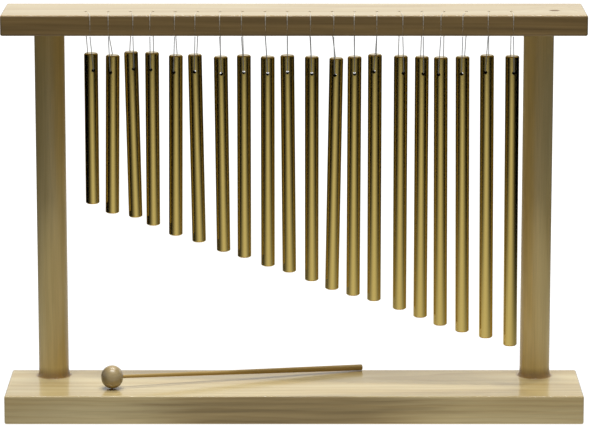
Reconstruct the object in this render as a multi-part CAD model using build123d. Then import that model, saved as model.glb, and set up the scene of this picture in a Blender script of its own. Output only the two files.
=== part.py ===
from build123d import *
from math import asin, cos, degrees, pi, radians, sin
import os

# Bar chimes on a tabletop stand of lacquered pine: a plank base, two dowel posts and a top bar, with a row
# of solid rods of growing length hung under the bar on loops of clear nylon, and a loose wooden mallet.
# The origin is on the table under the middle of the base. +X runs towards the long rods, +Y to the back
# and +Z up. All sizes are in millimetres and all angles in degrees.

# Rods
rod_count = 20
rod_diameter = 10.0
rod_gap = 6.1                 # clear space between two rods that hang straight
shortest_rod = 110.0
rod_step = 5.45               # each rod is longer than its left neighbour by this
rod_end_chamfer = 0.8
cross_hole_diameter = 2.6
cross_hole_below_top = 12.0

# How each rod hangs, from the left, as a few strokes of the hand leave it
hang_drop = 15.0                                       # from the bar's underside to a rod's top
hang_drop_more = [-1.5, 0, -2.5, -2, 0, -0.5, 1, 0, 1, 0, 1, 2, 1, -0.5, 0.5, 1, 1.5, 1, 0, 0.5]
hang_aside = [4, 3.5, 0.5, -0.5, 0.5, -2, 0.5, 1, 2, 0, 1.5, 3, 0, -1.5, 1, 0, -2.5, -3, -1.5, 0.5]
hang_lean = [0, -0.7, 1.1, 0, -0.4, 1, 0.6, 0, 0, 0.5, 0, -1, -0.2, 0, 0, 0, 0.3, 0.4, 0.3, 0.2]
hang_twist = [20, -15, 20, -10, -15, -5, 5, 0, 0, 0, 0, -10, 0, -10, 20, 10, -20, -10, -15, 10]
strand_aside = [4, 1, 2.5, -1.5, 0, -1.5, 0, -0.5, 0.5, 0, 0.5, 1, -0.5, -0.5, 2, 0.5, -3, -3.5, -1.5, 0.5]

# Strings
string_diameter = 0.7
string_clearance = 0.1        # between a string and the wood or metal that it bears on
string_split = 0.3            # between the strand on the bar and the loop below, where the string flexes
string_bend = 1.0             # radius of a string's bend at the mouth of a hole
bar_hole_diameter = 2.2
bar_hole_setback = 20.0       # from the bar's front face to the row of string holes

# Stand
base_depth = 80.0
base_thickness = 21.0
bar_depth = 62.0
bar_thickness = 15.0
plank_overhang = 32.0         # from a post's axis to the end of the planks
plank_edge_round = 1.5
post_diameter = 22.0
post_back_wall = 5.0          # wood behind a post's socket
row_start_margin = 28.3       # from the left post's axis to the first string hole
row_end_margin = 21.8         # from the last string hole to the right post's axis
space_below_rods = 32.0       # from the base to the longest rod
bar_socket_cover = 6.0        # wood left above a post's end
base_socket_floor = 11.0      # wood left below a post's end
post_end_chamfer = 0.6
socket_clearance = 0.1        # glue gap round a post's end

# Screws that hold the posts from below
screw_diameter = 4.0
screw_head_diameter = 8.0
screw_length = 35.0
screw_point_length = 5.0
screw_slot_width = 1.2
screw_slot_depth = 1.0
screw_head_recess = 0.5       # how far the head lies above the underside
screw_clearance = 0.1

# Mallet
mallet_length = 199.0
head_diameter = 17.0
head_length = 15.5
head_flat_diameter = 4.4
stick_neck_diameter = 2.4
stick_end_diameter = 4.5
stick_end_round = 0.8
stick_tenon = 10.0            # length of stick inside the head
tenon_clearance = 0.05
mallet_turn = 16.5            # angle between the stick and the base's back edge
mallet_end_x = 50.5
mallet_end_inset = 2.5        # from the base's back face to the middle of the stick's end
rest_clearance = 0.2          # between the loose mallet and the base

# Places that follow from the sizes above
rod_pitch = rod_diameter + rod_gap
longest_rod = shortest_rod + (rod_count - 1) * rod_step
row_length = (rod_count - 1) * rod_pitch
post_spacing = row_start_margin + row_length + row_end_margin
plank_length = post_spacing + 2 * plank_overhang
back_y = base_depth / 2
front_y = back_y - bar_depth
post_y = back_y - post_back_wall - post_diameter / 2
bar_hole_y = front_y + bar_hole_setback
rod_y = front_y + bar_hole_setback / 2
bar_bottom = base_thickness + space_below_rods + longest_rod + hang_drop
bar_top = bar_bottom + bar_thickness
string_radius = string_diameter / 2
strand_offset = string_radius + string_clearance


def plank(depth, thickness, middle_y, bottom):
    """A plank as long as the stand, with every edge rounded."""
    body = Pos(0, middle_y, bottom + thickness / 2) * Box(plank_length, depth, thickness)
    return fillet(body.edges(), plank_edge_round)


def upright(diameter, bottom, top):
    """A round bar along +Z between two heights, on the Z axis."""
    return Pos(0, 0, (bottom + top) / 2) * Cylinder(diameter / 2, top - bottom)


def post_places():
    """The places of the left and the right post's axis on the table."""
    return [Pos(side * post_spacing / 2, post_y, 0) for side in (-1, 1)]


def bar_hole_x(number):
    """Where along the bar a string's hole is, counted from the left."""
    return -post_spacing / 2 + row_start_margin + number * rod_pitch


def read_hang(values, number):
    """One rod's entry of a list above. A longer row starts over at the list's beginning."""
    return values[number % len(values)]


post_bottom = base_socket_floor
post_top = bar_top - bar_socket_cover
socket_diameter = post_diameter + 2 * socket_clearance
screw_bottom = screw_head_recess
screw_head_height = (screw_head_diameter - screw_diameter) / 2


def screw_outline(grow):
    """Half section of a countersunk screw on the Z axis, grown all round for the hole that takes it."""
    shank = screw_diameter / 2 + grow
    head = screw_head_diameter / 2 + grow
    tip = screw_bottom + screw_length + grow
    return Polyline(
        (0, screw_bottom),
        (head, screw_bottom),
        (shank, screw_bottom + screw_head_height),
        (shank, tip - screw_point_length),
        (0, tip),
        close=True,
    )


def turned(outline):
    """A solid turned about the Z axis from a half section drawn with X as the radius and Y as the height."""
    return revolve(Plane.XZ * make_face(outline), Axis.Z)


def post_screw():
    """A countersunk wood screw, point up, with a slot across its head."""
    slot = Pos(0, 0, screw_bottom + screw_slot_depth / 2)
    return turned(screw_outline(0)) - slot * Box(screw_head_diameter, screw_slot_width, screw_slot_depth)


def screw_hole():
    """The hole for a screw, open at the underside of the base."""
    mouth = upright(screw_head_diameter + 2 * screw_clearance, 0, screw_bottom)
    return turned(screw_outline(screw_clearance)) + mouth


def base():
    """The base plank with two blind sockets and the screw holes under them."""
    body = plank(base_depth, base_thickness, 0, 0)
    for place in post_places():
        body -= place * upright(socket_diameter, post_bottom, base_thickness)
        body -= place * screw_hole()
    return body


def top_bar():
    """The top bar with two blind sockets and the row of string holes."""
    body = plank(bar_depth, bar_thickness, back_y - bar_depth / 2, bar_bottom)
    for place in post_places():
        body -= place * upright(socket_diameter, bar_bottom, post_top)
    holes = [
        Pos(bar_hole_x(number), bar_hole_y, 0) * upright(bar_hole_diameter, bar_bottom, bar_top)
        for number in range(rod_count)
    ]
    return body - holes


def post():
    """A dowel that reaches into both sockets, with its ends eased and a pilot hole for the screw."""
    body = upright(post_diameter, post_bottom, post_top)
    body = chamfer(body.edges(), post_end_chamfer)
    return body - screw_hole()


class Hang:
    """Where one rod and its string are, from the lists at the top."""

    def __init__(self, number):
        lean = radians(read_hang(hang_lean, number))
        twist = radians(read_hang(hang_twist, number))
        self.length = shortest_rod + number * rod_step
        self.top = Vector(
            bar_hole_x(number) + read_hang(hang_aside, number),
            rod_y,
            bar_bottom - hang_drop - read_hang(hang_drop_more, number),
        )
        self.turn = Rot(0, -degrees(lean), degrees(twist))
        self.hole = self.top + Vector(sin(lean), 0, -cos(lean)) * cross_hole_below_top
        bearing = cross_hole_diameter / 2 - strand_offset
        reach = rod_diameter / 2 + string_bend - string_clearance
        outwards = Vector(sin(twist), -cos(twist), 0) * reach
        self.front_mouth = self.hole + Vector(0, 0, bearing) + outwards
        self.back_mouth = self.hole + Vector(0, 0, bearing) - outwards
        self.bar_hole = Vector(bar_hole_x(number), bar_hole_y, bar_bottom)
        strand_x = bar_hole_x(number) + read_hang(strand_aside, number)
        self.bar_edge = Vector(strand_x, front_y - strand_offset, bar_bottom)


def chime_rod(hang):
    """A solid rod with bevelled ends and a cross hole, at its place on its string."""
    rod = upright(rod_diameter, -hang.length, 0)
    rod = chamfer(rod.edges(), rod_end_chamfer)
    rod -= Pos(0, 0, -cross_hole_below_top) * Rot(90, 0, 0) * Cylinder(cross_hole_diameter / 2, 2 * rod_diameter)
    return Pos(*hang.top) * hang.turn * rod


def string_tube(points, radii):
    """A string along straight runs joined by tangent arcs. Its volume is compared with section times length."""
    route = FilletPolyline(*points, radius=radii)
    tube = sweep(Plane(origin=route @ 0, z_dir=route % 0) * Circle(string_radius), path=route)
    share = tube.volume / (pi * string_radius**2 * route.length)
    print(f"string of {route.length:.1f} mm, bends {radii}, volume over section times length {share:.4f}")
    return tube


def string_loop(hang):
    """The hanging loop: from the hole in the bar, through the rod's cross hole, up to the bar's front edge."""
    first = hang.bar_hole + (hang.back_mouth - hang.bar_hole).normalized() * string_split
    last = hang.bar_edge + (hang.front_mouth - hang.bar_edge).normalized() * string_split
    return string_tube([first, hang.back_mouth, hang.front_mouth, last], [string_bend, string_bend])


def bar_string(hang):
    """The strand on the bar: up the front face, over the rounded edge, back along the top and down the hole."""
    rise = Vector(0, 0, bar_thickness + strand_offset)
    points = [hang.bar_edge, hang.bar_edge + rise, hang.bar_hole + rise, hang.bar_hole]
    return string_tube(points, [plank_edge_round + strand_offset, string_bend])


def mallet_place():
    """The mallet's own frame: its head's middle, with Z along the stick. Head and stick's end lie on the base."""
    head_to_end = mallet_length - head_length / 2
    dip = asin((head_diameter - stick_end_diameter) / 2 / head_to_end)
    run = head_to_end * cos(dip)
    turn = radians(mallet_turn)
    end_height = base_thickness + rest_clearance + stick_end_diameter / 2
    end = Vector(mallet_end_x, back_y - mallet_end_inset, end_height)
    along = Vector(run * cos(turn), run * sin(turn), -head_to_end * sin(dip))
    return Plane(origin=end - along, x_dir=(sin(turn), -cos(turn), 0), z_dir=along)


def mallet_head():
    """A turned bead with flats at both ends and a blind hole for the stick."""
    half = head_length / 2
    flat = head_flat_diameter / 2
    crown = ThreePointArc((flat, -half), (head_diameter / 2, 0), (flat, half))
    rest = Polyline((flat, half), (0, half), (0, -half), (flat, -half))
    hole = upright(stick_neck_diameter + 2 * tenon_clearance, half - stick_tenon, half)
    return turned(crown + rest) - hole


def mallet_stick():
    """A stick with a straight tenon in the head, thicker towards its rounded free end."""
    start = head_length / 2 - stick_tenon
    end = mallet_length - head_length / 2
    neck = stick_neck_diameter / 2
    thick = stick_end_diameter / 2
    outline = Polyline((0, start), (neck, start), (neck, head_length / 2), (thick, end), (0, end), close=True)
    stick = turned(outline)
    return fillet(stick.edges().sort_by(Axis.Z)[-1], stick_end_round)


os.makedirs("parts", exist_ok=True)
hangs = [Hang(number) for number in range(rod_count)]
left, right = post_places()

nodes = {
    "base": base(),
    "top_bar": top_bar(),
    "left_post": left * post(),
    "right_post": right * post(),
    "post_screws": Compound(children=[place * post_screw() for place in (left, right)]),
    "bar_strings": Compound(children=[bar_string(hang) for hang in hangs]),
    "mallet_head": mallet_place() * mallet_head(),
    "mallet_stick": mallet_place() * mallet_stick(),
}
for number, hang in enumerate(hangs, start=1):
    nodes[f"chime_rod_{number:02d}"] = chime_rod(hang)
    nodes[f"string_loop_{number:02d}"] = string_loop(hang)

for name, shape in nodes.items():
    export_step(shape, f"parts/{name}.step")
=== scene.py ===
"""Dresses the bar chimes in lacquered pine, gold rods and clear nylon, and sets them in a plain studio."""

import math
from collections import namedtuple

import bmesh
import bpy
from bpy.props import FloatProperty, FloatVectorProperty, PointerProperty
from mathutils import Matrix, Vector


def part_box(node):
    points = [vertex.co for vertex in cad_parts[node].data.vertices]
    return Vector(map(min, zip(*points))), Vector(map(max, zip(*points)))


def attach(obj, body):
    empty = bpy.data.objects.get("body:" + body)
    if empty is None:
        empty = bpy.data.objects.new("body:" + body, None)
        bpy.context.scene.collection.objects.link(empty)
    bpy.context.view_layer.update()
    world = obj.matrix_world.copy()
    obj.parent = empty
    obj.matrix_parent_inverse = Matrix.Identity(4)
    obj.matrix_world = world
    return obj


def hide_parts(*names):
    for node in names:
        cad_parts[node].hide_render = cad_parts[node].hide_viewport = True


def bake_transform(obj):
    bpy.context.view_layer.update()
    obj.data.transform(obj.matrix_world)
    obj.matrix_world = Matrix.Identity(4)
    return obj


bl_info = {
    "name": "Bar chimes",
    "version": (1, 0, 0),
    "blender": (4, 5, 0),
    "location": "View3D > Sidebar > Chimes",
    "description": "Dresses a stand of bar chimes and sets it in a plain studio",
    "category": "Object",
}

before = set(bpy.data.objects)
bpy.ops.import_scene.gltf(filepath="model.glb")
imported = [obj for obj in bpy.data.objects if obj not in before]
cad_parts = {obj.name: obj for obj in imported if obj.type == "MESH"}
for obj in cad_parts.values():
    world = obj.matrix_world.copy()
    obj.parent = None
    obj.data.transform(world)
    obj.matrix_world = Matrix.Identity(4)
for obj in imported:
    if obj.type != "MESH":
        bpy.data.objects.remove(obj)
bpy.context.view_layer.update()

MM = 0.001
ROD_NUMBERS = [name[-2:] for name in sorted(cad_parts) if name.startswith("chime_rod_")]
UPRIGHT = (0, math.radians(90), 0)    # the turn for a grain that runs along Z
SHARP_ANGLE = math.radians(40)        # faces that meet at more than this keep a crisp edge
TURNED_STEPS = 96                     # faces round a turned form
ENDLESS = 2000                        # half size in millimetres of a zone that runs past the whole stand

# A zone painted in another tone over the wood: on this stand painted shade on the front faces and round the
# posts' feet, and the mallet
#  head's darker ends. Its middle is in the part's frame and its half size in millimetres. Full is the part of
#  it that doesn't fade, ragged how far its border strays, and strength how much of it shows.
Zone = namedtuple("Zone", "colour middle half_size full ragged strength")

# A knot straight through a plank: its place along and across the grain and its radius, in millimetres
Knot = namedtuple("Knot", "colour along aside radius")


def linear(hex_colour):
    """An sRGB hex colour as linear red, green and blue."""
    channels = [int(hex_colour[start:start + 2], 16) / 255 for start in (1, 3, 5)]
    return [c / 12.92 if c <= 0.04045 else ((c + 0.055) / 1.055) ** 2.4 for c in channels]


def opaque(colour):
    """A property's colour with full alpha, for a shader's socket."""
    return (*colour, 1.0)


def mean(places):
    """The middle of a list of places."""
    return sum(places, Vector()) / len(places)


def dress(piece, material):
    """Gives a piece one material all over."""
    piece.data.materials.clear()
    piece.data.materials.append(material)


def add_object(scene, name, data):
    """Adds an object to the scene."""
    made = bpy.data.objects.new(name, data)
    scene.collection.objects.link(made)
    return made


def smooth_mesh(name, shape):
    """Turns a finished shape into a mesh that is shaded smooth, with its sharp edges crisp."""
    mesh = bpy.data.meshes.new(name)
    shape.to_mesh(mesh)
    shape.free()
    mesh.shade_smooth()
    mesh.set_sharp_from_angle(angle=SHARP_ANGLE)
    return mesh


class ChimesWood(bpy.types.PropertyGroup):
    """Colours and sizes of the wooden pieces."""

    base: FloatVectorProperty(
        name="Base", description="Pale wood of the base, between the growth rings",
        subtype="COLOR", min=0, max=1, default=linear("#d3c292"))
    base_deep: FloatVectorProperty(
        name="Deeper base", description="Broad darker streaks of the base",
        subtype="COLOR", min=0, max=1, default=linear("#c7b17c"))
    bar: FloatVectorProperty(
        name="Bar", description="Pale wood of the top bar, between the growth rings",
        subtype="COLOR", min=0, max=1, default=linear("#cbb784"))
    bar_deep: FloatVectorProperty(
        name="Deeper bar", description="Broad darker streaks of the top bar",
        subtype="COLOR", min=0, max=1, default=linear("#bfa66d"))
    # Painted shade: this colour darkens the base's front face, most in its middle, for the shade that face
    # gets.
    base_front_shade_colour: FloatVectorProperty(
        name="Base heartwood", description="Darker heartwood in the base's front edge, mostly its middle",
        subtype="COLOR", min=0, max=1, default=linear("#937f54"))
    # Painted shade: this colour darkens the bar's front face for the shade that face gets.
    bar_front_shade_colour: FloatVectorProperty(
        name="Bar heartwood", description="Warmer heartwood along the bar's front edge",
        subtype="COLOR", min=0, max=1, default=linear("#9c8051"))
    # Painted shade: this dark colour at the posts' feet, and round them on the base, stands for the contact
    # shade in that corner.
    foot: FloatVectorProperty(
        name="Foot", description="Lacquer gathered in the corner where a post meets the base",
        subtype="COLOR", min=0, max=1, default=linear("#7c5516"))
    fillet_width: FloatProperty(
        name="Fillet width", description="How far glue and lacquer spread from a post's foot over the base",
        unit="LENGTH", default=1.7 * MM, min=0.1 * MM, max=5 * MM)
    fillet_height: FloatProperty(
        name="Fillet height", description="How far glue and lacquer climb up a post's foot",
        unit="LENGTH", default=6 * MM, min=0.1 * MM, max=15 * MM)
    latewood: FloatVectorProperty(
        name="Latewood", description="Dark line of each growth ring",
        subtype="COLOR", min=0, max=1, default=linear("#a3844a"))
    dowel: FloatVectorProperty(
        name="Dowel", description="Pale wood of the posts",
        subtype="COLOR", min=0, max=1, default=linear("#deca92"))
    dowel_deep: FloatVectorProperty(
        name="Deeper dowel", description="Broad darker streaks of the posts",
        subtype="COLOR", min=0, max=1, default=linear("#cdb473"))
    knot: FloatVectorProperty(
        name="Knot", description="Pin knot in the top bar",
        subtype="COLOR", min=0, max=1, default=linear("#6d4f1c"))
    ring_spacing: FloatProperty(
        name="Ring spacing", description="Width of one year's growth in the planks",
        unit="LENGTH", default=3.6 * MM, min=0.5 * MM, max=10 * MM)
    dowel_ring_spacing: FloatProperty(
        name="Dowel ring spacing", description="Width of one year's growth in the posts",
        unit="LENGTH", default=6.5 * MM, min=0.5 * MM, max=10 * MM)
    bead: FloatVectorProperty(
        name="Bead", description="Wood of the mallet's head",
        subtype="COLOR", min=0, max=1, default=linear("#ac986b"))
    # Partly painted shade: the head's ends are darker for their end grain and also for the shade at the
    # head's rims.
    end_grain_and_shade: FloatVectorProperty(
        name="End grain", description="Darker wood at the two ends of the mallet's head",
        subtype="COLOR", min=0, max=1, default=linear("#66552f"))
    stick: FloatVectorProperty(
        name="Stick", description="Wood of the mallet's stick",
        subtype="COLOR", min=0, max=1, default=linear("#b39452"))
    groove_depth: FloatProperty(
        name="Groove depth", description="Depth of the line turned into the mallet's head",
        unit="LENGTH", default=0.3 * MM, min=0, max=1 * MM)
    groove_place: FloatProperty(
        name="Groove place", description="From the middle of the head to the turned line",
        unit="LENGTH", default=4.4 * MM, min=0, max=6 * MM)


class ChimesMetal(bpy.types.PropertyGroup):
    """Colours and finish of the rods and screws."""

    gold: FloatVectorProperty(
        name="Gold", description="Colour of the anodised rods",
        subtype="COLOR", min=0, max=1, default=linear("#cfb96f"))
    gold_streak: FloatVectorProperty(
        name="Gold streak", description="Colour in the fine lines along a rod",
        subtype="COLOR", min=0, max=1, default=linear("#c8ae60"))
    # Painted shade: the cross holes are painted dark for the shade inside them. Their drill lines and their
    # grazing tint are darkened with them.
    bore_shade: FloatVectorProperty(
        name="Bore", description="Colour inside the cross holes, which catch little light",
        subtype="COLOR", min=0, max=1, default=linear("#4a3a20"))
    bore_scratch: FloatVectorProperty(
        name="Bore scratch", description="Brighter lines that the drill left inside the cross holes",
        subtype="COLOR", min=0, max=1, default=linear("#6b5630"))
    bore_grazing_shade: FloatVectorProperty(
        name="Bore at a low angle", description="What is left of light along the rough wall of a cross hole",
        subtype="COLOR", min=0, max=1, default=linear("#2a2014"))
    zinc: FloatVectorProperty(
        name="Zinc", description="Plating on the screws",
        subtype="COLOR", min=0, max=1, default=linear("#b9b9b4"))
    zinc_dull: FloatVectorProperty(
        name="Dull zinc", description="Duller patches in the plating",
        subtype="COLOR", min=0, max=1, default=linear("#9fa09b"))
    draw_line: FloatProperty(
        name="Draw line", description="Width of the lines that drawing leaves along a rod",
        unit="LENGTH", default=0.5 * MM, min=0.1 * MM, max=2 * MM)


class ChimesNylon(bpy.types.PropertyGroup):
    """The clear strings."""

    tint: FloatVectorProperty(
        name="Tint",
        description="Colour of a hanging string, whose clear body bends darker parts of a room into view",
        subtype="COLOR", min=0, max=1, default=linear("#8f9293"))
    cloud: FloatVectorProperty(
        name="Cloud", description="Milky streaks in a hanging string",
        subtype="COLOR", min=0, max=1, default=linear("#a9adae"))
    # Partly painted highlight: the white at the bend stands for the glint there as well as for whitened
    # nylon, and it fades in steps away from the edge.
    whitened_and_glint: FloatVectorProperty(
        name="Whitened", description="Nylon that a sharp bend has turned white",
        subtype="COLOR", min=0, max=1, default=linear("#f0e8d4"))
    whitened_and_glint_cloud: FloatVectorProperty(
        name="Whitened cloud", description="Duller streaks in whitened nylon",
        subtype="COLOR", min=0, max=1, default=linear("#dcd3bd"))
    seen_in_air: FloatProperty(
        name="Seen in air", description="How much of a hanging string shows, against what is behind it",
        subtype="FACTOR", default=0.6, min=0, max=1)
    seen_on_wood: FloatProperty(
        name="Seen on wood", description="How much of a string shows where it lies on the bar",
        subtype="FACTOR", default=0.06, min=0, max=1)
    seen_at_bend: FloatVectorProperty(
        name="Seen at bend",
        description="How much of a string shows in each step away from the bar's front top edge",
        size=3, default=(0.95, 0.5, 0.2), min=0, max=1)
    bend_step: FloatProperty(
        name="Bend step", description="Length of each step over which a bend's whiteness fades",
        unit="LENGTH", default=3.5 * MM, min=0.5 * MM, max=6 * MM)


class ChimesStage(bpy.types.PropertyGroup):
    """Camera, lights and floor."""

    camera_place: FloatVectorProperty(
        name="Camera place", description="Where the camera stands",
        subtype="TRANSLATION", unit="LENGTH", default=(0.0043, -2.52, 0.6592))
    camera_pitch: FloatProperty(
        name="Camera pitch", description="How far the camera looks down",
        subtype="ANGLE", default=math.radians(11.5))
    lens: FloatProperty(
        name="Lens", description="Focal length on a 36 mm sensor, in millimetres",
        default=212.0, min=20, max=500)
    strip_size: FloatVectorProperty(
        name="Strip size", description="Width and depth of each of the two long softboxes overhead",
        size=2, unit="LENGTH", default=(2.0, 0.25))
    front_strip: FloatVectorProperty(
        name="Front strip", description="Middle of the softbox in front of the bar",
        subtype="TRANSLATION", unit="LENGTH", default=(0.05, -0.8, 3.5))
    back_strip: FloatVectorProperty(
        name="Back strip", description="Middle of the softbox behind the bar",
        subtype="TRANSLATION", unit="LENGTH", default=(0.05, 1.15, 3.5))
    strip_power: FloatVectorProperty(
        name="Strip power", description="Power of the front and the back softbox in watts",
        size=2, unit="POWER", default=(90.0, 66.0), min=0)
    room_light: FloatProperty(
        name="Room light", description="Even light from the room on matt surfaces", default=0.1, min=0, max=1)
    wall_glow: FloatProperty(
        name="Wall glow", description="Brightness of the white wall as polished surfaces show it",
        default=0.78, min=0, max=1)
    table_glow: FloatProperty(
        name="Table glow", description="Brightness of the white table as polished surfaces show it",
        default=0.86, min=0, max=1)
    table_reach: FloatVectorProperty(
        name="Table reach",
        description="How far the white table goes sideways beside the stand, and to the front",
        size=2, unit="LENGTH", default=(0.36, 1.75))
    table_spread: FloatProperty(
        name="Table spread", description="How much wider the white table gets for each metre to the front",
        default=0.27, min=0, max=1)
    table_middle: FloatProperty(
        name="Table middle", description="Middle of the white table, to the right of the stand",
        unit="LENGTH", default=0.05)
    bounce: FloatProperty(
        name="Bounce", description="Light that the table close to the stand throws back on it",
        default=1.1, min=0, max=3)
    bounce_reach: FloatVectorProperty(
        name="Bounce reach",
        description="How far from the stand the table throws light back, sideways and in front",
        size=2, unit="LENGTH", default=(0.5, 0.30))


class ChimesSettings(bpy.types.PropertyGroup):
    """All that a user would change on the chimes."""

    wood: PointerProperty(type=ChimesWood)
    metal: PointerProperty(type=ChimesMetal)
    nylon: PointerProperty(type=ChimesNylon)
    stage: PointerProperty(type=ChimesStage)


def node(tree, kind, inputs=None, stops=None, **settings):
    """Adds a node with its settings, sets or links its inputs, and gives a colour ramp its stops."""
    made = tree.nodes.new(kind)
    for name, value in settings.items():
        setattr(made, name, value)
    for key, value in (inputs or {}).items():
        if isinstance(value, bpy.types.NodeSocket):
            tree.links.new(value, made.inputs[key])
        else:
            made.inputs[key].default_value = value
    if stops:
        elements = made.color_ramp.elements
        while len(elements) < len(stops):
            elements.new(0.5)
        for element, (place, grey) in zip(elements, stops):
            element.position = place
            element.color = (grey, grey, grey, 1.0)
    return made


def new_material(name):
    """An empty node material, with its tree and its output node."""
    material = bpy.data.materials.new(name)
    material.use_nodes = True
    tree = material.node_tree
    tree.nodes.clear()
    return material, tree, node(tree, "ShaderNodeOutputMaterial")


def in_millimetres(tree, turn=(0, 0, 0)):
    """Places on a piece in millimetres, turned so that the grain runs along X."""
    place = node(tree, "ShaderNodeTexCoord").outputs["Object"]
    scale = (1 / MM, 1 / MM, 1 / MM)
    turned = node(tree, "ShaderNodeMapping", {"Vector": place, "Rotation": turn, "Scale": scale})
    return turned.outputs["Vector"]


def streaks(tree, grain, length, width, detail=2.0):
    """Soft streaks along the grain, of that length and width in millimetres."""
    squeeze = (1 / length, 1 / width, 1 / width)
    squeezed = node(tree, "ShaderNodeVectorMath", {0: grain, 1: squeeze}, operation="MULTIPLY")
    return node(tree, "ShaderNodeTexNoise",
                {"Vector": squeezed.outputs["Vector"], "Scale": 1.0, "Detail": detail}).outputs["Fac"]


def distance_from(tree, place, middle, scale):
    """How far a place is from a middle, with each axis scaled. A scale of zero leaves an axis out."""
    offset = [-along * factor for along, factor in zip(middle, scale)]
    apart = node(tree, "ShaderNodeVectorMath", {0: place, 1: scale, 2: offset}, operation="MULTIPLY_ADD")
    return node(tree, "ShaderNodeVectorMath", {0: apart.outputs["Vector"]},
                operation="LENGTH").outputs["Value"]


def in_view(tree, ray):
    """One for what the camera sees, straight on or through something clear, and zero for other light."""
    return node(tree, "ShaderNodeMath", {0: ray["Is Camera Ray"], 1: ray["Is Transmission Ray"]},
                operation="MAXIMUM").outputs["Value"]


def knot_marks(tree, grain, knot):
    """How much of the wood is the knot, and how far it pushes the growth rings out, in millimetres."""
    away = distance_from(tree, grain, (knot.along, knot.aside, 0), (1, 1, 0))
    share = node(tree, "ShaderNodeMapRange",
                 {"Value": away, "From Min": 1.15 * knot.radius, "From Max": 0.6 * knot.radius},
                 interpolation_type="SMOOTHSTEP").outputs["Result"]
    push = node(tree, "ShaderNodeMapRange",
                {"Value": away, "From Min": 6 * knot.radius, "From Max": knot.radius,
                 "To Max": 1.2 * knot.radius}, interpolation_type="SMOOTHSTEP").outputs["Result"]
    return share, push


def growth_rings(tree, grain, pith, ring_spacing, push):
    """Rings round the pith that wander along the plank: each is pale for most of its width and ends in a dark
    line. The result is one in that line."""
    wander_reach = 9.0      # in millimetres
    uneven_reach = 1.7      # in rings
    uneven_often = 0.37     # changes of width for each ring
    distance = distance_from(tree, grain, (0, *pith), (0, 1, 1))
    wander = streaks(tree, grain, length=170, width=40)
    distance = node(tree, "ShaderNodeMath", {0: wander, 1: wander_reach, 2: distance},
                    operation="MULTIPLY_ADD").outputs["Value"]
    distance = node(tree, "ShaderNodeMath", {0: distance, 1: push}, operation="ADD").outputs["Value"]
    ring = node(tree, "ShaderNodeMath", {0: distance, 1: MM / ring_spacing},
                operation="MULTIPLY").outputs["Value"]
    uneven = node(tree, "ShaderNodeTexNoise", {"W": ring, "Scale": uneven_often, "Detail": 1.0},
                  noise_dimensions="1D").outputs["Fac"]
    ring = node(tree, "ShaderNodeMath", {0: uneven, 1: uneven_reach, 2: ring},
                operation="MULTIPLY_ADD").outputs["Value"]
    ring = node(tree, "ShaderNodeMath", {0: ring}, operation="FRACT").outputs["Value"]
    return node(tree, "ShaderNodeValToRGB", {"Fac": ring},
                stops=[(0.0, 0.0), (0.35, 0.08), (0.82, 1.0), (0.92, 0.8), (1.0, 0.0)]).outputs["Color"]


def zone_share(tree, grain, spot, zone):
    """How much of a zone's tone shows: full in its core, fading to a border that is ragged with the grain."""
    away = distance_from(tree, spot, zone.middle, [1 / size for size in zone.half_size])
    frayed = node(tree, "ShaderNodeMath",
                  {0: streaks(tree, grain, length=60, width=3), 1: zone.ragged, 2: away},
                  operation="MULTIPLY_ADD").outputs["Value"]
    half_ragged = zone.ragged / 2
    return node(tree, "ShaderNodeMapRange",
                {"Value": frayed, "From Min": 1 + half_ragged, "From Max": zone.full + half_ragged,
                 "To Max": zone.strength}, interpolation_type="SMOOTHSTEP").outputs["Result"]


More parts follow.
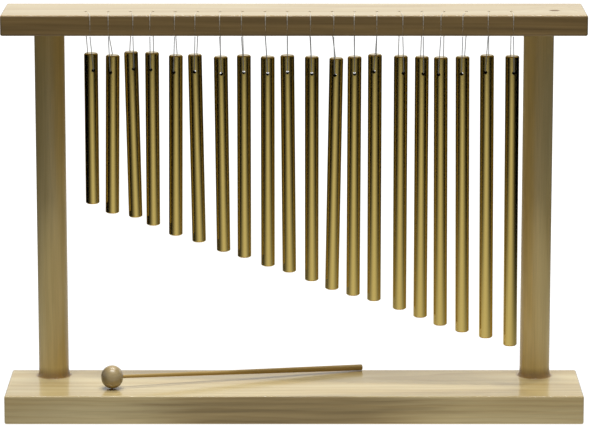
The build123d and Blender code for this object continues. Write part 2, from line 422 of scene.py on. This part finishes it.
def lacquered_wood(name, early, early_deep, late, ring_spacing, pith, turn=(0, 0, 0), late_share=0.3,
                   zones=(), knot=None, coat=0.9, coat_rough=0.16, coat_ior=1.33):
    """Wood planed or turned under clear satin lacquer: growth rings round a pith, fine fibres and a soft
    gloss on top. The grain runs along X after the turn. The pith is a place across it, in millimetres."""
    material, tree, output = new_material(name)
    spot = in_millimetres(tree)
    grain = in_millimetres(tree, turn)
    knot_share, push = knot_marks(tree, grain, knot) if knot else (None, 0.0)
    late_line = growth_rings(tree, grain, pith, ring_spacing, push)
    tone = streaks(tree, grain, length=220, width=22)
    fibres = streaks(tree, grain, length=30, width=0.7, detail=3.0)

    # Pale wood with broad deeper streaks, in which the dark lines of the rings are stronger too
    deep_mix = node(tree, "ShaderNodeMapRange",
                    {"Value": tone, "From Min": 0.35, "From Max": 0.65}).outputs["Result"]
    late_mix = node(tree, "ShaderNodeMapRange",
                    {"Value": tone, "From Min": 0.3, "From Max": 0.7,
                     "To Min": 0.6 * late_share, "To Max": 1.3 * late_share}).outputs["Result"]
    late_mix = node(tree, "ShaderNodeMath", {0: late_line, 1: late_mix},
                    operation="MULTIPLY").outputs["Value"]
    body = node(tree, "ShaderNodeMix", {0: deep_mix, 6: opaque(early), 7: opaque(early_deep)},
                data_type="RGBA").outputs[2]
    body = node(tree, "ShaderNodeMix", {0: late_mix, 6: body, 7: opaque(late)}, data_type="RGBA").outputs[2]

    # Zones of another tone, here mostly painted shade, with darker lines and with bands along the grain
    late_in_zone = opaque([0.5 * channel for channel in late])
    bands = node(tree, "ShaderNodeMapRange",
                 {"Value": streaks(tree, grain, length=160, width=4), "From Min": 0.32, "From Max": 0.68,
                  "To Min": 0.78, "To Max": 1.2}).outputs["Result"]
    for zone in zones:
        share = zone_share(tree, grain, spot, zone)
        zone_wood = node(tree, "ShaderNodeMix", {0: late_mix, 6: opaque(zone.colour), 7: late_in_zone},
                         data_type="RGBA").outputs[2]
        zone_wood = node(tree, "ShaderNodeHueSaturation",
                         {"Value": bands, "Color": zone_wood}).outputs["Color"]
        body = node(tree, "ShaderNodeMix", {0: share, 6: body, 7: zone_wood}, data_type="RGBA").outputs[2]

    # A knot's end grain drinks in the lacquer and stays dull
    if knot:
        body = node(tree, "ShaderNodeMix", {0: knot_share, 6: body, 7: opaque(knot.colour)},
                    data_type="RGBA").outputs[2]
        coat = node(tree, "ShaderNodeMapRange",
                    {"Value": knot_share, "To Min": coat, "To Max": 0.3 * coat}).outputs["Result"]

    # The lacquer fills most of the grain and leaves a shallow relief
    shade = node(tree, "ShaderNodeMapRange",
                 {"Value": fibres, "From Min": 0.3, "From Max": 0.7,
                  "To Min": 0.93, "To Max": 1.06}).outputs["Result"]
    body = node(tree, "ShaderNodeHueSaturation", {"Value": shade, "Color": body}).outputs["Color"]
    relief = node(tree, "ShaderNodeMath", {0: late_line, 1: 0.5, 2: fibres},
                  operation="MULTIPLY_ADD").outputs["Value"]
    bump = node(tree, "ShaderNodeBump",
                {"Height": relief, "Strength": 0.2, "Distance": 0.1 * MM}).outputs["Normal"]
    rough = node(tree, "ShaderNodeMapRange",
                 {"Value": fibres, "To Min": 0.42, "To Max": 0.55}).outputs["Result"]
    shader = node(tree, "ShaderNodeBsdfPrincipled",
                  {"Base Color": body, "Roughness": rough, "Normal": bump, "IOR": 1.5,
                   "Specular IOR Level": 0.1, "Coat Weight": coat, "Coat Roughness": coat_rough,
                   "Coat IOR": coat_ior})
    tree.links.new(shader.outputs["BSDF"], output.inputs["Surface"])
    return material


def drawn_metal(name, colour, streak_colour, draw_line, roughness, spread=0.0, grazing=(1, 1, 1)):
    """Drawn and polished metal: a sharp reflection with fine lines along the length that spread it sideways.
    The grazing colour tints what the metal reflects at a low angle."""
    material, tree, output = new_material(name)
    lines = streaks(tree, in_millimetres(tree, UPRIGHT), length=90, width=draw_line / MM, detail=3.0)
    body = node(tree, "ShaderNodeMix", {0: lines, 6: opaque(colour), 7: opaque(streak_colour)},
                data_type="RGBA").outputs[2]
    rough = node(tree, "ShaderNodeMapRange",
                 {"Value": lines, "From Min": 0.3, "From Max": 0.7,
                  "To Min": 0.85 * roughness, "To Max": 1.2 * roughness}).outputs["Result"]
    bump = node(tree, "ShaderNodeBump",
                {"Height": lines, "Strength": 0.05, "Distance": 0.001 * MM}).outputs["Normal"]
    shader = node(tree, "ShaderNodeBsdfPrincipled",
                  {"Base Color": body, "Metallic": 1.0, "Roughness": rough, "Specular Tint": opaque(grazing),
                   "Anisotropic": spread, "Normal": bump})
    tree.links.new(shader.outputs["BSDF"], output.inputs["Surface"])
    return material


def clear_nylon(name, tint, cloud, seen):
    """Extruded nylon monofilament: part clear, part milky, with a bright glint along its length. The strings
    are too thin for bent light to show, so they are see-through without it and let light pass to the wood."""
    material, tree, output = new_material(name)
    milky = streaks(tree, in_millimetres(tree), length=2.5, width=2.5)
    body = node(tree, "ShaderNodeMix", {0: milky, 6: opaque(tint), 7: opaque(cloud)},
                data_type="RGBA").outputs[2]
    rough = node(tree, "ShaderNodeMapRange",
                 {"Value": milky, "To Min": 0.12, "To Max": 0.25}).outputs["Result"]
    shader = node(tree, "ShaderNodeBsdfPrincipled",
                  {"Base Color": body, "Roughness": rough, "IOR": 1.53, "Alpha": seen})
    tree.links.new(shader.outputs["BSDF"], output.inputs["Surface"])
    return material


class CHIMES_OT_planks(bpy.types.Operator):
    """Gives the base and the top bar their lacquered pine"""

    bl_idname = "chimes.planks"
    bl_label = "Dress planks"

    def execute(self, context):
        wood = context.scene.chimes.wood
        slight = math.radians(0.7)
        base = lacquered_wood(
            "pine_planed_lacquered_base", wood.base, wood.base_deep, wood.latewood, wood.ring_spacing,
            pith=(18, -62), turn=(0, slight, -slight), zones=self.base_zones(wood))
        # Painted shade: a thin skin of darker colour on the bar's front face.
        painted_bar_front_zone = Zone(wood.bar_front_shade_colour, middle=(0, -23, 289), half_size=(ENDLESS, 2.5, 100),
                         full=0.5, ragged=0.2, strength=1.0)
        bar = lacquered_wood(
            "pine_planed_lacquered_bar", wood.bar, wood.bar_deep, wood.latewood, wood.ring_spacing,
            pith=(24, 215), turn=(0, -slight, 0), zones=[painted_bar_front_zone],
            knot=Knot(wood.knot, along=184, aside=3, radius=4.2))
        dress(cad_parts["base"], base)
        dress(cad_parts["top_bar"], bar)
        return {"FINISHED"}

    def base_zones(self, wood):
        """Painted shade on the base's front face, strongest in the middle, and rings of painted contact shade
        round the posts' feet.
        """
        # Painted shade: a thin skin of darker colour on the base's front face, stronger in its middle.
        base_front_shade_zone = Zone(wood.base_front_shade_colour, middle=(0, -41, 10), half_size=(ENDLESS, 2.5, 60),
                          full=0.5, ragged=0.2, strength=0.3)
        base_middle_shade_zone = Zone(wood.base_front_shade_colour, middle=(-6, -41, 10), half_size=(150, 2.5, 60),
                           full=0.5, ragged=0.4, strength=1.0)
        # Painted contact shade round each post's foot.
        rings = [self.foot_shade_ring(post, wood.foot) for post in ("left_post", "right_post")]
        return [base_front_shade_zone, base_middle_shade_zone, *rings]

    def foot_shade_ring(self, post, colour):
        """A ring of painted contact shade on the base round a post's foot."""
        low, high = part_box(post)
        middle = (low + high) / 2
        margin = 3.4 * MM
        reach = ((high.x - low.x) / 2 + margin) / MM
        base_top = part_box("base")[1].z
        return Zone(colour, middle=(middle.x / MM, middle.y / MM, base_top / MM),
                    half_size=(reach, reach, 30), full=0.85, ragged=0.0, strength=0.45)


class CHIMES_OT_posts(bpy.types.Operator):
    """Gives the two posts their lacquered pine dowel and the fillets at their feet"""

    bl_idname = "chimes.posts"
    bl_label = "Dress posts"

    def execute(self, context):
        wood = context.scene.chimes.wood
        base_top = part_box("base")[1].z
        # Painted shade: the posts darken towards their feet for the contact shade where they meet the base,
        # and the fillets take the same material.
        foot = Zone(wood.foot, middle=(0, 0, base_top / MM), half_size=(ENDLESS, ENDLESS, 9),
                    full=0.1, ragged=0.2, strength=0.8)
        for name, pith, ragged_start in (("left_post", (40, -150), 0.4), ("right_post", (45, 200), 2.6)):
            material = lacquered_wood(
                f"pine_dowel_lacquered_{name}", wood.dowel, wood.dowel_deep, wood.latewood,
                wood.dowel_ring_spacing, pith=pith, turn=UPRIGHT, late_share=0.12, zones=[foot])
            dress(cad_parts[name], material)
            shape = self.fillet_shape(name, base_top, wood.fillet_width, wood.fillet_height, ragged_start)
            piece_name = f"foot_fillet_{name}"
            fillet = add_object(context.scene, piece_name, smooth_mesh(piece_name, shape))
            dress(fillet, material)
            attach(fillet, "stand")
        return {"FINISHED"}

    def fillet_shape(self, post, base_top, width, height, ragged_start):
        """Glue and lacquer gathered round a post's foot: a hollow-cheeked ring, a little ragged, set slightly
        into the post and the base."""
        low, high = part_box(post)
        middle = (low + high) / 2
        radius = (high.x - low.x) / 2
        sunk = 0.3 * MM
        curve_steps = 10
        broad_swell = 0.12
        fine_swell = 0.05
        shape = bmesh.new()
        rings = []
        for turn in range(TURNED_STEPS):
            angle = math.tau * turn / TURNED_STEPS
            ragged = 1 + broad_swell * math.sin(2 * angle + ragged_start)
            ragged += fine_swell * math.sin(5 * angle + 2 * ragged_start)
            spread = width * ragged
            climb = height * ragged
            profile = [(radius - sunk, base_top - sunk), (radius + spread, base_top - sunk)]
            for step in range(curve_steps + 1):
                bend = math.radians(90) * step / curve_steps
                reach = radius + spread * (1 - math.sin(bend))
                profile.append((reach, base_top + climb * (1 - math.cos(bend))))
            profile.append((radius - sunk, base_top + climb))
            rings.append([
                shape.verts.new((middle.x + reach * math.cos(angle), middle.y + reach * math.sin(angle), z))
                for reach, z in profile])
        for first, second in zip(rings, rings[1:] + rings[:1]):
            for place in range(len(first)):
                shape.faces.new((first[place - 1], first[place], second[place], second[place - 1]))
        bmesh.ops.recalc_face_normals(shape, faces=shape.faces)
        return shape


class CHIMES_OT_rods(bpy.types.Operator):
    """Gives the rods their gold anodised aluminium"""

    bl_idname = "chimes.rods"
    bl_label = "Dress rods"

    def execute(self, context):
        metal = context.scene.chimes.metal
        gold = drawn_metal("aluminium_drawn_gold_anodised", metal.gold, metal.gold_streak, metal.draw_line,
                           roughness=0.155, spread=0.75)
        # Painted shade: the cross holes get a darker copy of the metal for the shade inside them.
        bore_shade = drawn_metal("aluminium_bore_painted_shade", metal.bore_shade, metal.bore_scratch, metal.draw_line,
                           roughness=0.45, grazing=metal.bore_grazing_shade)
        for number in ROD_NUMBERS:
            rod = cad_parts[f"chime_rod_{number}"]
            dress(rod, gold)
            rod.data.materials.append(bore_shade)
            for face in self.bore_faces(rod):
                face.material_index = 1
        return {"FINISHED"}

    def bore_faces(self, rod):
        """The faces inside a rod's cross hole: near the rod's axis, and away from its ends."""
        low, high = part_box(rod.name)
        end = 3 * MM
        near_axis = 4 * MM
        places = [vertex.co for vertex in rod.data.vertices]
        top = mean([place for place in places if high.z - place.z < end])
        bottom = mean([place for place in places if place.z - low.z < end])
        length = (top - bottom).length
        axis = (top - bottom).normalized()
        faces = []
        for face in rod.data.polygons:
            arm = face.center - bottom
            height = arm.dot(axis)
            if end < height < length - end and (arm - height * axis).length < near_axis:
                faces.append(face)
        return faces


class CHIMES_OT_screws(bpy.types.Operator):
    """Gives the screws under the base their zinc plating"""

    bl_idname = "chimes.screws"
    bl_label = "Dress screws"

    def execute(self, context):
        metal = context.scene.chimes.metal
        zinc = drawn_metal("steel_zinc_plated", metal.zinc, metal.zinc_dull, metal.draw_line, roughness=0.35)
        dress(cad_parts["post_screws"], zinc)
        return {"FINISHED"}


class CHIMES_OT_strings(bpy.types.Operator):
    """Gives the strings their nylon, the hanging loops as copies of their CAD loops"""

    bl_idname = "chimes.strings"
    bl_label = "String the rods"

    def execute(self, context):
        nylon = context.scene.chimes.nylon
        self.lay_strands(context.scene, nylon)
        in_air = clear_nylon("nylon_monofilament_in_air", nylon.tint, nylon.cloud, nylon.seen_in_air)
        for number in ROD_NUMBERS:
            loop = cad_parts[f"string_loop_{number}"]
            piece = add_object(context.scene, f"nylon_loop_{number}", loop.data.copy())
            dress(piece, in_air)
            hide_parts(loop.name)
            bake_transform(piece)
        return {"FINISHED"}

    def lay_strands(self, scene, nylon):
        """The strands on the bar: white where they bend over its front top edge, part whitened nylon and part
        a painted glint, and clearer in steps from there. They are cut at each step, so that a face is all on
        one side of it."""
        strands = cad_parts["bar_strings"]
        low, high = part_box("top_bar")
        shape = bmesh.new()
        shape.from_mesh(strands.data)
        for step in range(1, len(nylon.seen_at_bend) + 1):
            reach = step * nylon.bend_step
            for place, across in (((0, low.y + reach, 0), (0, 1, 0)), ((0, 0, high.z - reach), (0, 0, 1))):
                everything = shape.verts[:] + shape.edges[:] + shape.faces[:]
                bmesh.ops.bisect_plane(shape, geom=everything, plane_co=place, plane_no=across)
        mesh = smooth_mesh("nylon_strands", shape)
        for step, seen in enumerate((*nylon.seen_at_bend, nylon.seen_on_wood), start=1):
            mesh.materials.append(clear_nylon(
                f"nylon_bent_white_and_glint_{step}", nylon.whitened_and_glint, nylon.whitened_and_glint_cloud, seen))
        for face in mesh.polygons:
            away = max(face.center.y - low.y, high.z - face.center.z, 0)
            face.material_index = min(int(away / nylon.bend_step), len(nylon.seen_at_bend))
        piece = add_object(scene, "nylon_strands", mesh)
        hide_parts(strands.name)
        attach(piece, "stand")


class CHIMES_OT_mallet(bpy.types.Operator):
    """Turns the mallet's head with its line and gives the mallet its wood"""

    bl_idname = "chimes.mallet"
    bl_label = "Dress mallet"

    def execute(self, context):
        wood = context.scene.chimes.wood
        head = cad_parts["mallet_head"]
        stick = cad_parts["mallet_stick"]
        low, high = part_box(head.name)
        middle = (low + high) / 2
        along = self.stick_direction(stick, middle)
        half = max((vertex.co - middle).dot(along) for vertex in head.data.vertices)
        to_grain = along.rotation_difference(Vector((1, 0, 0)))
        turn = tuple(to_grain.to_euler())
        grain_middle = to_grain @ middle / MM
        bead_wood = lacquered_wood(
            "hardwood_bead_turned", wood.bead, wood.stick, wood.latewood, ring_spacing=1.7 * MM,
            pith=(grain_middle.y + 3, grain_middle.z - 16), turn=turn, late_share=0.25,
            zones=self.end_grain_and_shade(wood.end_grain_and_shade, middle, half * along),
            coat=1.0, coat_rough=0.31, coat_ior=1.6)
        stick_wood = lacquered_wood(
            "hardwood_dowel_tapered", wood.stick, wood.bead, wood.latewood, ring_spacing=1.3 * MM,
            pith=(grain_middle.y + 20, grain_middle.z - 25), turn=turn, late_share=0.25, coat=0.15)
        dress(stick, stick_wood)
        shape = self.bead_shape(head, middle, along, half, wood.groove_place, wood.groove_depth)
        bead = add_object(context.scene, "mallet_bead", smooth_mesh("mallet_bead", shape))
        dress(bead, bead_wood)
        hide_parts(head.name)
        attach(bead, "mallet")
        return {"FINISHED"}

    def stick_direction(self, stick, middle):
        """The direction from the head's middle to the stick's far end."""
        end = 1 * MM
        places = [vertex.co for vertex in stick.data.vertices]
        reach = max((place - middle).length for place in places)
        far = [place for place in places if (place - middle).length > reach - end]
        return (mean(far) - middle).normalized()

    def end_grain_and_shade(self, colour, middle, to_end):
        """The two ends of the head: end grain that drinks in lacquer and darkens, and painted shade for the
        dark rims as well, the free end most.
        """
        return [Zone(colour, middle=tuple((middle + side * to_end) / MM), half_size=(7, 22, 22),
                     full=0.1, ragged=0.2, strength=strength)
                for side, strength in ((-1, 1.0), (1, 0.5))]

    def bead_shape(self, head, middle, along, half, groove_place, groove_depth):
        """The head on a lathe: a round crown between two flats, a fine line near the stick, and the stick's
        hole."""
        spots = []
        for vertex in head.data.vertices:
            arm = vertex.co - middle
            place = arm.dot(along)
            spots.append((place, (arm - place * along).length))
        near = 0.05 * MM
        radius = max(reach for place, reach in spots)
        end_face = [reach for place, reach in spots if place > half - near]
        flat, hole = max(end_face), min(end_face)
        hole_bottom = min(place for place, reach in spots if reach < hole + near and place > near - half)
        crown_middle = (radius ** 2 - half ** 2 - flat ** 2) / (2 * (radius - flat))
        crown = radius - crown_middle

        # Half section from the free end to the bottom of the stick's hole
        groove_half = 0.55 * MM
        groove_steps = 10
        crown_steps = 64
        stations = {-half + 2 * half * step / crown_steps for step in range(crown_steps + 1)}
        stations |= {groove_place + groove_half * (2 * step / groove_steps - 1)
                     for step in range(groove_steps + 1)}
        profile = [(-half, 0.0)]
        for place in sorted(stations):
            reach = crown_middle + math.sqrt(max(crown ** 2 - place ** 2, 0))
            aside = (place - groove_place) / groove_half
            if abs(aside) < 1:
                reach -= groove_depth * math.cos(aside * math.pi / 2) ** 2
            profile.append((place, reach))
        profile += [(half, hole), (hole_bottom, hole), (hole_bottom, 0.0)]

        # Turned about Z, then laid along the stick
        weld = 0.001 * MM
        shape = bmesh.new()
        corners = [shape.verts.new((reach, 0, place)) for place, reach in profile]
        edges = [shape.edges.new(pair) for pair in zip(corners, corners[1:])]
        bmesh.ops.spin(shape, geom=corners + edges, cent=(0, 0, 0), axis=(0, 0, 1), angle=math.tau,
                       steps=TURNED_STEPS)
        bmesh.ops.remove_doubles(shape, verts=shape.verts, dist=weld)
        bmesh.ops.recalc_face_normals(shape, faces=shape.faces)
        lay = Vector((0, 0, 1)).rotation_difference(along).to_matrix().to_4x4()
        shape.transform(Matrix.Translation(middle) @ lay)
        return shape


class CHIMES_OT_stage(bpy.types.Operator):
    """Sets up the camera, the two softboxes, the room and the white table"""

    bl_idname = "chimes.stage"
    bl_label = "Set the stage"

    def execute(self, context):
        scene = context.scene
        stage = scene.chimes.stage
        scene.view_settings.view_transform = "Standard"
        self.add_camera(scene, stage)
        self.add_softbox(scene, stage, "front_softbox", stage.front_strip, stage.strip_power[0])
        self.add_softbox(scene, stage, "back_softbox", stage.back_strip, stage.strip_power[1])
        self.add_room(scene, stage)
        self.add_table(scene, stage)
        return {"FINISHED"}

    def add_camera(self, scene, stage):
        """A long lens in front of the stand that looks down a little."""
        camera = add_object(scene, "camera", bpy.data.cameras.new("camera"))
        camera.data.lens = stage.lens
        camera.location = stage.camera_place
        camera.rotation_euler = (math.radians(90) - stage.camera_pitch, 0, 0)
        scene.camera = camera

    def add_softbox(self, scene, stage, name, place, power):
        """A long softbox that faces down."""
        light = bpy.data.lights.new(name, "AREA")
        light.shape = "RECTANGLE"
        light.size, light.size_y = stage.strip_size
        light.energy = power
        lamp = add_object(scene, name, light)
        lamp.location = place
        lamp.visible_camera = False

    def add_room(self, scene, stage):
        """A white room that lights matt surfaces only dimly, so that the softboxes shape them."""
        world = bpy.data.worlds.new("room")
        world.use_nodes = True
        world.cycles.sampling_method = "NONE"
        tree = world.node_tree
        tree.nodes.clear()
        ray = node(tree, "ShaderNodeLightPath").outputs
        reflected = node(tree, "ShaderNodeMath",
                         {0: ray["Is Glossy Ray"], 1: stage.wall_glow, 2: stage.room_light},
                         operation="MULTIPLY_ADD").outputs["Value"]
        strength = node(tree, "ShaderNodeMath", {0: in_view(tree, ray), 1: reflected},
                        operation="MAXIMUM").outputs["Value"]
        background = node(tree, "ShaderNodeBackground", {"Color": (1, 1, 1, 1), "Strength": strength})
        output = node(tree, "ShaderNodeOutputWorld", {"Surface": background.outputs["Background"]})
        output.is_active_output = True
        scene.world = world

    def add_table(self, scene, stage):
        """A wide white table just under the stand."""
        half_size = 12.0      # in metres
        drop = 0.2 * MM
        mesh = bpy.data.meshes.new("floor")
        shape = bmesh.new()
        bmesh.ops.create_grid(shape, x_segments=1, y_segments=1, size=half_size)
        bmesh.ops.translate(shape, verts=shape.verts, vec=(0, 0, -drop))
        shape.to_mesh(mesh)
        shape.free()
        floor = add_object(scene, "floor", mesh)
        dress(floor, self.matt_white(stage))

    def matt_white(self, stage):
        """Matt white paint that the camera sees as white, with the stand's soft shadow. To polished surfaces
        it ends to the sides and the front, which is what draws a bright band and dark edges on the rods.
        Close to the stand it throws light back on matt surfaces."""
        front_edge = 10.0          # how sudden the table's end to the front is
        white_near_stand = 0.86
        shadow_grey = (0.2, 0.2, 0.2, 1)
        material, tree, output = new_material("table_matt_white")
        material.cycles.emission_sampling = "NONE"
        place = node(tree, "ShaderNodeTexCoord").outputs["Object"]
        place = node(tree, "ShaderNodeVectorMath", {0: place, 1: (-stage.table_middle, 0, 0)},
                     operation="ADD").outputs["Vector"]

        # What polished surfaces see: it gets wider to the front, and fades past its sides and its front edge
        apart = node(tree, "ShaderNodeSeparateXYZ", {"Vector": place}).outputs
        front = node(tree, "ShaderNodeMath", {0: apart["Y"], 1: -1.0}, operation="MULTIPLY").outputs["Value"]
        width = node(tree, "ShaderNodeMath", {0: front, 1: 0.0}, operation="MAXIMUM").outputs["Value"]
        width = node(tree, "ShaderNodeMath", {0: width, 1: stage.table_spread, 2: stage.table_reach[0]},
                     operation="MULTIPLY_ADD").outputs["Value"]
        sideways = node(tree, "ShaderNodeMath", {0: apart["X"], 1: width},
                        operation="DIVIDE").outputs["Value"]
        sideways = node(tree, "ShaderNodeMath", {0: sideways, 1: sideways},
                        operation="MULTIPLY").outputs["Value"]
        forward = node(tree, "ShaderNodeMath", {0: front, 1: stage.table_reach[1]},
                       operation="DIVIDE").outputs["Value"]
        forward = node(tree, "ShaderNodeMath", {0: forward, 1: front_edge},
                       operation="POWER").outputs["Value"]
        away = node(tree, "ShaderNodeMath", {0: sideways, 1: forward}, operation="ADD").outputs["Value"]
        share = node(tree, "ShaderNodeMath", {0: 1 / math.e, 1: away}, operation="POWER").outputs["Value"]
        glow = node(tree, "ShaderNodeMath", {0: share, 1: stage.table_glow},
                    operation="MULTIPLY").outputs["Value"]

        # What matt surfaces get back from the table close to the stand
        near_scale = (1 / stage.bounce_reach[0], 1 / stage.bounce_reach[1], 0)
        near = node(tree, "ShaderNodeVectorMath", {0: place, 1: near_scale},
                    operation="MULTIPLY").outputs["Vector"]
        near = node(tree, "ShaderNodeVectorMath", {0: near, 1: near},
                    operation="DOT_PRODUCT").outputs["Value"]
        near = node(tree, "ShaderNodeMath", {0: 1 / math.e, 1: near}, operation="POWER").outputs["Value"]
        bounce = node(tree, "ShaderNodeMath", {0: near, 1: stage.bounce},
                      operation="MULTIPLY").outputs["Value"]

        # What the camera sees
        whiteness = node(tree, "ShaderNodeMapRange",
                         {"Value": near, "To Min": 1.0, "To Max": white_near_stand}).outputs["Result"]
        white = node(tree, "ShaderNodeEmission", {"Strength": whiteness}).outputs["Emission"]
        shadowed = node(tree, "ShaderNodeBsdfDiffuse", {"Color": shadow_grey}).outputs["BSDF"]
        white = node(tree, "ShaderNodeAddShader", {0: white, 1: shadowed}).outputs["Shader"]

        ray = node(tree, "ShaderNodeLightPath").outputs
        strength = node(tree, "ShaderNodeMix", {0: ray["Is Glossy Ray"], 2: bounce, 3: glow}).outputs[0]
        table = node(tree, "ShaderNodeEmission", {"Strength": strength}).outputs["Emission"]
        surface = node(tree, "ShaderNodeMixShader", {0: in_view(tree, ray), 1: table, 2: white})
        tree.links.new(surface.outputs["Shader"], output.inputs["Surface"])
        return material


class CHIMES_PT_panel(bpy.types.Panel):
    """Lists the steps that dress the chimes"""

    bl_idname = "CHIMES_PT_panel"
    bl_label = "Bar chimes"
    bl_space_type = "VIEW_3D"
    bl_region_type = "UI"
    bl_category = "Chimes"

    def draw(self, context):
        for step in STEPS:
            self.layout.operator(step.bl_idname)


GROUPS = (ChimesWood, ChimesMetal, ChimesNylon, ChimesStage, ChimesSettings)
STEPS = (CHIMES_OT_stage, CHIMES_OT_strings, CHIMES_OT_planks, CHIMES_OT_posts, CHIMES_OT_rods,
         CHIMES_OT_screws, CHIMES_OT_mallet)


def register():
    for made in (*GROUPS, *STEPS, CHIMES_PT_panel):
        bpy.utils.register_class(made)
    bpy.types.Scene.chimes = PointerProperty(type=ChimesSettings)


def unregister():
    del bpy.types.Scene.chimes
    for made in reversed((*GROUPS, *STEPS, CHIMES_PT_panel)):
        bpy.utils.unregister_class(made)


def main():
    register()
    bpy.ops.chimes.stage()
    bpy.ops.chimes.strings()
    bpy.ops.chimes.planks()
    bpy.ops.chimes.posts()
    bpy.ops.chimes.rods()
    bpy.ops.chimes.screws()
    bpy.ops.chimes.mallet()


if __name__ == "__main__":
    main()
